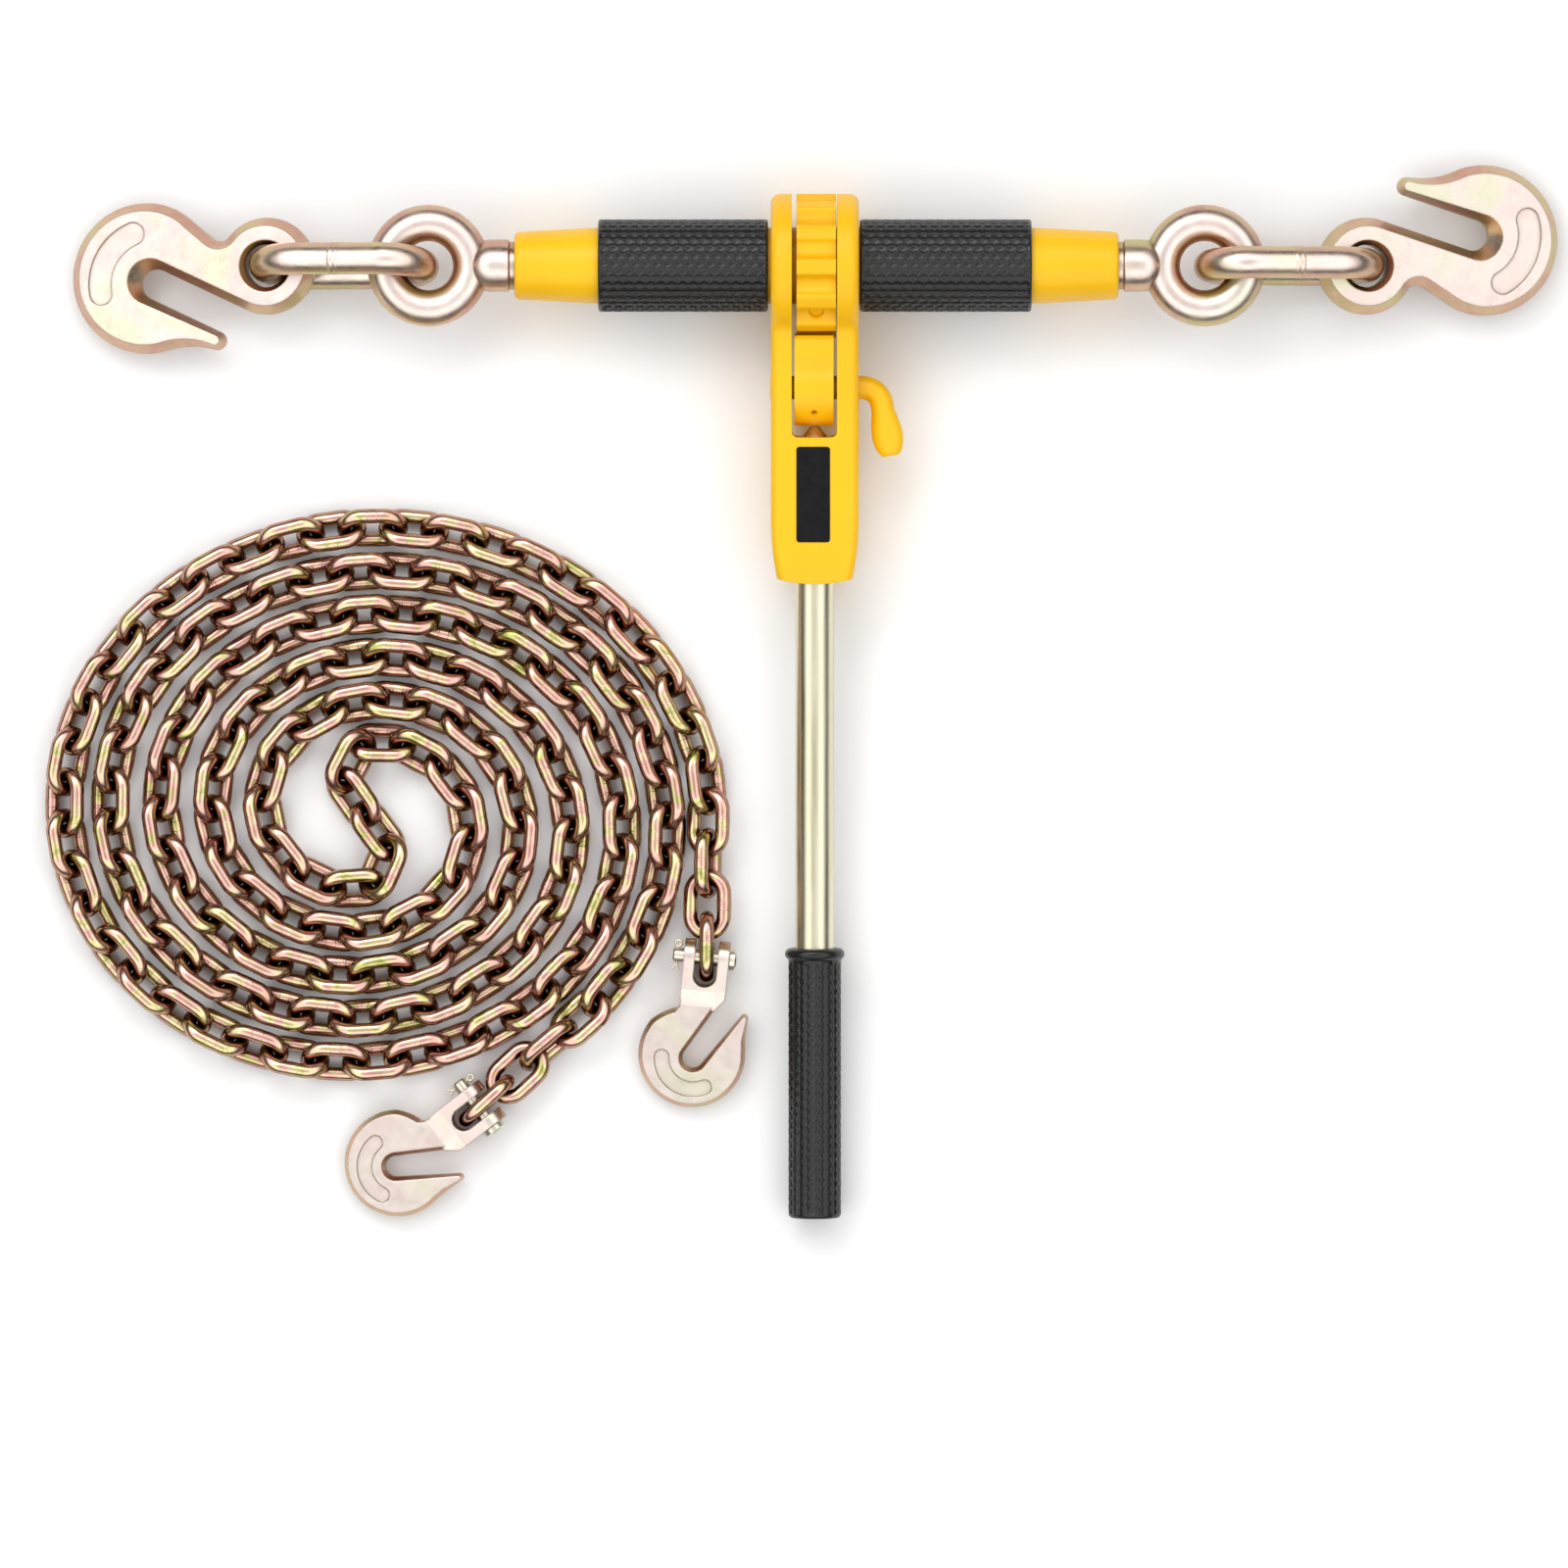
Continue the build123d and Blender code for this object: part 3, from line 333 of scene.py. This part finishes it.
def turned(name, origin, axis, side, profile, around, relief, material, body):
    """A closed body of revolution. profile is a loop of (along, radius, share of relief), and
    relief(along, around) says how far the skin sinks there."""
    up = np.cross(axis, side)
    angles = np.arange(around) * 2 * math.pi / around
    verts = []
    for along, radius, share in profile:
        r = radius - (share * relief(along, angles * radius) if share else 0.0)
        middle = origin + along * axis
        verts.append(middle + np.outer(np.cos(angles) * r, side) + np.outer(np.sin(angles) * r, up))
    faces = grid_faces(len(profile), around, closed_rows=True)
    return new_piece(name, np.concatenate(verts).tolist(), faces, material, body)


SCALE_PITCH = 4.5 * MM
SCALE_ROW = 3.0 * MM
SCALE_DEEP = 0.75 * MM
SCALE_REACH = 0.62  # from a scale's middle to its rim, in pitches
SCALE_SQUASH = 1.15  # how much shorter a scale is around the skin than along it
SCALE_HOLLOW = 0.95  # how deep a scale's middle lies, as a share of the relief


def scales(along, around, pitch, row, deep):
    """Overlapping round scales: each rises to its rim, where it drops to the one below."""
    sink = np.full(around.shape, deep)
    uncovered = np.ones(around.shape, bool)
    base = np.floor(around / row)
    for step in (1, 0, -1, -2):
        j = base + step
        shift = np.where(np.mod(j, 2) == 0, 0.0, 0.5)
        middle = (np.round(along / pitch - shift) + shift) * pitch
        far = np.hypot(along - middle, (around - j * row) * SCALE_SQUASH) / (SCALE_REACH * pitch)
        hit = uncovered & (far < 1.0)
        sink = np.where(hit, deep * (SCALE_HOLLOW - SCALE_HOLLOW * far ** 2), sink)
        uncovered &= ~hit
    return sink


def relief_on(radius, size):
    """Scales at that size, in a whole even number of rows around a skin of that radius."""
    rows = 2 * round(math.pi * radius / (size * SCALE_ROW))
    row = 2 * math.pi * radius / rows

    def relief(along, around):
        return scales(along, around, size * SCALE_PITCH, row, size * SCALE_DEEP)

    return relief


# ==== rubber sleeves and grip ================================================================

joints = {joint["name"]: joint for joint in frame["record"]["behaviour"]["joints"]}
BARREL_AT = np.array(joints["handle_turn"]["pos_m"])
X_AXIS, Y_AXIS, Z_AXIS = np.array([1.0, 0, 0]), np.array([0, 1.0, 0]), np.array([0, 0, 1.0])
SLEEVE_R = 19.5 * MM
SLEEVE_INNER = 16.04 * MM
SLEEVE_EDGE = 1.2 * MM
SLEEVE_AROUND = 300
STEP = 0.36 * MM  # between rings of the scaled skins
EDGE_STEPS = 4
EDGE_SHARE = 0.3  # of the relief, where a rounded edge meets the straight skin


def skin_profile(start, end, outer, inner, edge):
    """Loop down the outside of a sleeve and back along its bore, with rounded outer edges."""
    rounds = []
    for k in range(1, EDGE_STEPS + 1):
        a = math.pi / 2 * k / EDGE_STEPS
        rounds.append((edge * (1 - math.cos(a)), edge * (1 - math.sin(a)), EDGE_SHARE * k / EDGE_STEPS))
    straight = end - start - 2 * edge
    count = int(round(straight / STEP))
    loop = [(start, inner, 0.0), (start, outer - edge, 0.0)]
    loop += [(start + inward, outer - fall, share) for inward, fall, share in rounds]
    loop += [(start + edge + straight * k / count, outer, 1.0) for k in range(1, count)]
    loop += [(end - inward, outer - fall, share) for inward, fall, share in reversed(rounds)]
    loop += [(end, outer - edge, 0.0), (end, inner, 0.0)]
    return loop


for side in ("left", "right"):
    low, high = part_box(f"sleeve_{side}")
    start, end = low[0] - BARREL_AT[0], high[0] - BARREL_AT[0]
    profile = skin_profile(start, end, SLEEVE_R, SLEEVE_INNER, SLEEVE_EDGE)
    skin = turned(
        f"sleeve_{side}_skin", BARREL_AT, X_AXIS, Y_AXIS, profile, SLEEVE_AROUND,
        relief_on(SLEEVE_R, 1.0), "black_rubber", "barrel",
    )
    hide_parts(f"sleeve_{side}")

GRIP_R = 11.15 * MM
GRIP_AROUND = 200
GRIP_SCALES = 0.9  # size of the grip's scales against the sleeves'
GRIP_BORE = 8.23 * MM
FLANGE_R = 12.6 * MM
FLANGE_BEAD = 2.4 * MM
FLANGE_FROM, FLANGE_STEP, FLANGE_STEPS = -150, 15, 17  # degrees round the bead
MOUTH = 20 * MM
SHAFT_GAP = 0.6 * MM
FADE_RINGS = 5
END_ROUND = 1.8 * MM
END_STEPS = 5
END_SHARE, END_SHARE_FALL = 0.4, 0.08
END_FLAT_R = 6.0 * MM
END_CAP = 2.5 * MM
CENTRE_R = 0.05 * MM

tube_points = node_points("handle_tube")
tube_centre = (tube_points.min(axis=0) + tube_points.max(axis=0)) / 2
tube_axis = spread(tube_points, tube_centre)[:, 2]
if tube_axis[1] > 0:
    tube_axis = -tube_axis
runs = (node_points("handle_grip") - tube_centre) @ tube_axis
grip_start, grip_end = runs.min(), runs.max()


def grip_profile():
    """Rolled flange at the mouth, scaled shaft, rounded closed end."""
    loop = [(grip_start + MOUTH, GRIP_BORE, 0.0)]
    for k in range(FLANGE_STEPS):
        a = math.radians(FLANGE_STEP * k + FLANGE_FROM)
        r = FLANGE_R - FLANGE_BEAD * (1 - math.cos(a))
        if r > (GRIP_BORE if a < 0 else GRIP_R):
            loop.append((grip_start + FLANGE_BEAD * (1 + math.sin(a)), r, 0.0))
    first = loop[-1][0] + SHAFT_GAP
    straight = grip_end - END_ROUND - first
    count = int(round(straight / STEP))
    for k in range(count):
        loop.append((first + straight * k / count, GRIP_R, min(1.0, k / FADE_RINGS)))
    for k in range(END_STEPS + 1):
        a = math.pi / 2 * k / END_STEPS
        along = grip_end - END_ROUND * (1 - math.sin(a))
        loop.append((along, GRIP_R - END_ROUND * (1 - math.cos(a)), END_SHARE - END_SHARE_FALL * k))
    inside = grip_end - END_CAP
    loop += [(grip_end, END_FLAT_R, 0.0), (grip_end, CENTRE_R, 0.0)]
    loop += [(inside, CENTRE_R, 0.0), (inside, GRIP_BORE, 0.0)]
    return loop


grip_side = np.cross(tube_axis, Z_AXIS)
grip_side /= np.linalg.norm(grip_side)
grip = turned(
    "handle_grip_skin", tube_centre, tube_axis, grip_side, grip_profile(), GRIP_AROUND,
    relief_on(GRIP_R, GRIP_SCALES), "black_rubber", "handle",
)
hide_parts("handle_grip")


# ==== weld beads on the links ================================================================

SAME_POINT = 0.002 * MM


def islands(points, faces):
    """Groups of points joined by faces, after joining points that coincide."""
    keys = {}
    index = []
    for p in np.round(points / SAME_POINT).astype(np.int64):
        index.append(keys.setdefault(tuple(p), len(keys)))
    parent = list(range(len(keys)))

    def root(a):
        while parent[a] != a:
            parent[a] = parent[parent[a]]
            a = parent[a]
        return a

    for face in faces:
        first = root(index[face[0]])
        for v in face[1:]:
            other = root(index[v])
            if other != first:
                parent[other] = first
    groups = {}
    for at, key in enumerate(index):
        groups.setdefault(root(key), []).append(at)
    return [points[g] for g in groups.values()]


def link_frames(node):
    """(centre, long axis, cross axis) of each link in a node."""
    points = node_points(node)
    faces = [tuple(p.vertices) for p in nodes[node].data.polygons]
    found = []
    for group in islands(points, faces):
        centre = (group.max(axis=0) + group.min(axis=0)) / 2
        vectors = spread(group, centre)
        local = (group - centre) @ vectors
        centre = centre + vectors @ ((local.max(axis=0) + local.min(axis=0)) / 2)
        found.append((centre, vectors[:, 2], vectors[:, 1]))
    return sorted(found, key=lambda f: tuple(np.round(f[0], 6)))


# Outlines of a weld as (along, rise), in radii of the wire: a trimmed collar, and a butt seam.
TRIMMED = [
    (-0.75, 0.0), (-0.64, 0.030), (-0.46, 0.040), (-0.38, 0.012), (-0.29, 0.042), (-0.09, 0.046),
    (0.0, 0.014), (0.09, 0.046), (0.29, 0.042), (0.38, 0.012), (0.46, 0.040), (0.64, 0.030),
    (0.75, 0.0),
]
BUTTED = [
    (-0.34, 0.0), (-0.22, 0.014), (-0.08, 0.030), (-0.03, 0.002), (0.03, 0.002), (0.08, 0.034),
    (0.24, 0.016), (0.36, 0.0),
]
CHAIN_WIRE_R, CHAIN_SIDE = 3.0 * MM, 7.2 * MM  # wire radius, and link's middle to its side's
LINK_WIRE_R, LINK_SIDE = 6.75 * MM, 15.75 * MM
WELD_AROUND = 24
WELD_SUNK = 0.02 * MM  # how far a weld's end rings lie under the wire's surface
ON_EDGE = 0.9  # a link whose side faces up more than this has its weld on the upper side


def weld_beads(name, node_names, wire, reach, outline, material, body):
    """A low weld at the middle of one side of each link in those nodes."""
    verts, faces = [], []
    angles = np.arange(WELD_AROUND) * 2 * math.pi / WELD_AROUND
    for node in node_names:
        for centre, axis, cross in link_frames(node):
            normal = np.cross(axis, cross)
            if abs(cross[2]) > ON_EDGE:
                side = math.copysign(1.0, cross[2])
            else:
                side = rng.choice((-1, 1))
            start = len(verts)
            at = centre + side * reach * cross
            for along, rise in outline:
                r = wire * (1.0 + rise) - (WELD_SUNK if rise == 0.0 else 0.0)
                middle = at + along * wire * axis
                for a in angles:
                    verts.append(tuple(middle + r * (math.cos(a) * cross + math.sin(a) * normal)))
            for face in grid_faces(len(outline), WELD_AROUND):
                faces.append(tuple(start + v for v in face))
            last = start + (len(outline) - 1) * WELD_AROUND
            faces.append(tuple(start + v for v in reversed(range(WELD_AROUND))))
            faces.append(tuple(last + v for v in range(WELD_AROUND)))
    new_piece(name, verts, faces, material, body)


chain_nodes = [n for n in nodes if n.startswith("chain_")]
weld_beads(
    "chain_welds", chain_nodes, CHAIN_WIRE_R, CHAIN_SIDE, TRIMMED, "chain_zinc", "chain_coil"
)
for side in ("left", "right"):
    link = f"link_{side}"
    weld_beads(f"{link}_weld", [link], LINK_WIRE_R, LINK_SIDE, BUTTED, "zinc_yellow", link)


# ==== threads on the eye bolts ===============================================================

THREAD_FROM, THREAD_TO = 21.0 * MM, 125.6 * MM  # the screw section, from the barrel's middle
THREAD_INSET = 2.1 * MM
THREAD_PITCH = 6.35 * MM
THREAD_STEPS = 60  # to a turn
THREAD_FADE = 20  # steps over which the ridge rises and dies away
ROOT_R, CREST_R = 10.86 * MM, 11.22 * MM
RIDGE = [(-1.9, ROOT_R), (-1.3, CREST_R), (1.3, CREST_R), (1.9, ROOT_R)]  # (along in mm, radius)


def thread(name, axis, hand, body):
    """A low trapezoid ridge wound on the screw section; hand is 1 for a right-hand thread."""
    up = np.cross(axis, Y_AXIS)
    count = int((THREAD_TO - THREAD_FROM - 2 * THREAD_INSET) / THREAD_PITCH * THREAD_STEPS)
    verts = []
    for k in range(count + 1):
        turn = 2 * math.pi * k / THREAD_STEPS
        fade = min(1.0, k / THREAD_FADE, (count - k) / THREAD_FADE)
        spoke = math.cos(turn) * Y_AXIS + hand * math.sin(turn) * up
        for along, r in RIDGE:
            r = ROOT_R + (r - ROOT_R) * fade
            at = THREAD_FROM + THREAD_INSET + THREAD_PITCH * k / THREAD_STEPS + along * MM
            verts.append(tuple(BARREL_AT + at * axis + r * spoke))
    faces = grid_faces(count + 1, len(RIDGE))
    faces += [(3, 2, 1, 0), tuple(count * 4 + j for j in range(4))]
    new_piece(name, verts, faces, "zinc_yellow", body, smooth=False)


thread("thread_right", X_AXIS, 1, "eye_bolt_right")
thread("thread_left", -X_AXIS, -1, "eye_bolt_left")


# ==== floor, light and camera ================================================================

FLOOR_HALF = 6.0
FLOOR_Z = -0.0003
floor_mesh = bpy.data.meshes.new("floor")
corners = [(x * FLOOR_HALF, y * FLOOR_HALF, FLOOR_Z) for x, y in ((-1, -1), (1, -1), (1, 1), (-1, 1))]
floor_mesh.from_pydata(corners, [], [(0, 1, 2, 3)])
floor = bpy.data.objects.new("floor", floor_mesh)
bpy.context.scene.collection.objects.link(floor)
floor_look = Shader("floor_white", Roughness=0.9, Specular_IOR_Level=0.1)
floor_look.colour(
    floor_look.ramp(floor_look.noise(3.0), [(0.3, (0.90, 0.90, 0.90)), (0.7, (0.92, 0.92, 0.92))])
)
floor.data.materials.append(floor_look.mat)

# Shade of the sky by height: dark at the horizon, a bright ring, dimmer overhead.
SKY = [(0.0, 0.10), (0.22, 0.05), (0.42, 0.16), (0.60, 1.55), (0.88, 1.75), (0.955, 0.90), (1.0, 0.80)]
world = bpy.data.worlds.new("studio")
bpy.context.scene.world = world
world.use_nodes = True
tree = world.node_tree
background = tree.nodes["Background"]
where = tree.nodes.new("ShaderNodeTexCoord")
split = tree.nodes.new("ShaderNodeSeparateXYZ")
tree.links.new(where.outputs["Generated"], split.inputs[0])
sky = tree.nodes.new("ShaderNodeValToRGB")
fill_ramp(sky.color_ramp, [(at, (shade, shade, shade)) for at, shade in SKY])
tree.links.new(split.outputs["Z"], sky.inputs["Fac"])
tree.links.new(sky.outputs["Color"], background.inputs["Color"])
background.inputs["Strength"].default_value = 1.0


def area_light(name, at, aim, size, power):
    data = bpy.data.lights.new(name, "AREA")
    data.shape, data.size, data.size_y, data.energy = "RECTANGLE", size[0], size[1], power
    lamp = bpy.data.objects.new(name, data)
    bpy.context.scene.collection.objects.link(lamp)
    lamp.location = at
    lamp.rotation_euler = (Vector(aim) - Vector(at)).to_track_quat("-Z", "Y").to_euler()
    lamp.visible_camera = False


area_light("key", at=(-0.6, 1.0, 1.3), aim=(0, 0, 0), size=(1.4, 0.5), power=6)

VIEW_WIDTH = 661.92 * MM
VIEW_X, VIEW_Y = -6.79 * MM, -38.7 * MM
CAMERA_HEIGHT = 8.0
SENSOR = 36.0
camera_data = bpy.data.cameras.new("camera")
camera = bpy.data.objects.new("camera", camera_data)
bpy.context.scene.collection.objects.link(camera)
camera_data.sensor_width = SENSOR
camera_data.lens = SENSOR * CAMERA_HEIGHT / VIEW_WIDTH
camera_data.clip_end = 50.0
camera.location = (VIEW_X, VIEW_Y, CAMERA_HEIGHT)
bpy.context.scene.camera = camera
bpy.context.scene.view_settings.view_transform = "Standard"
bpy.context.scene.view_settings.look = "None"
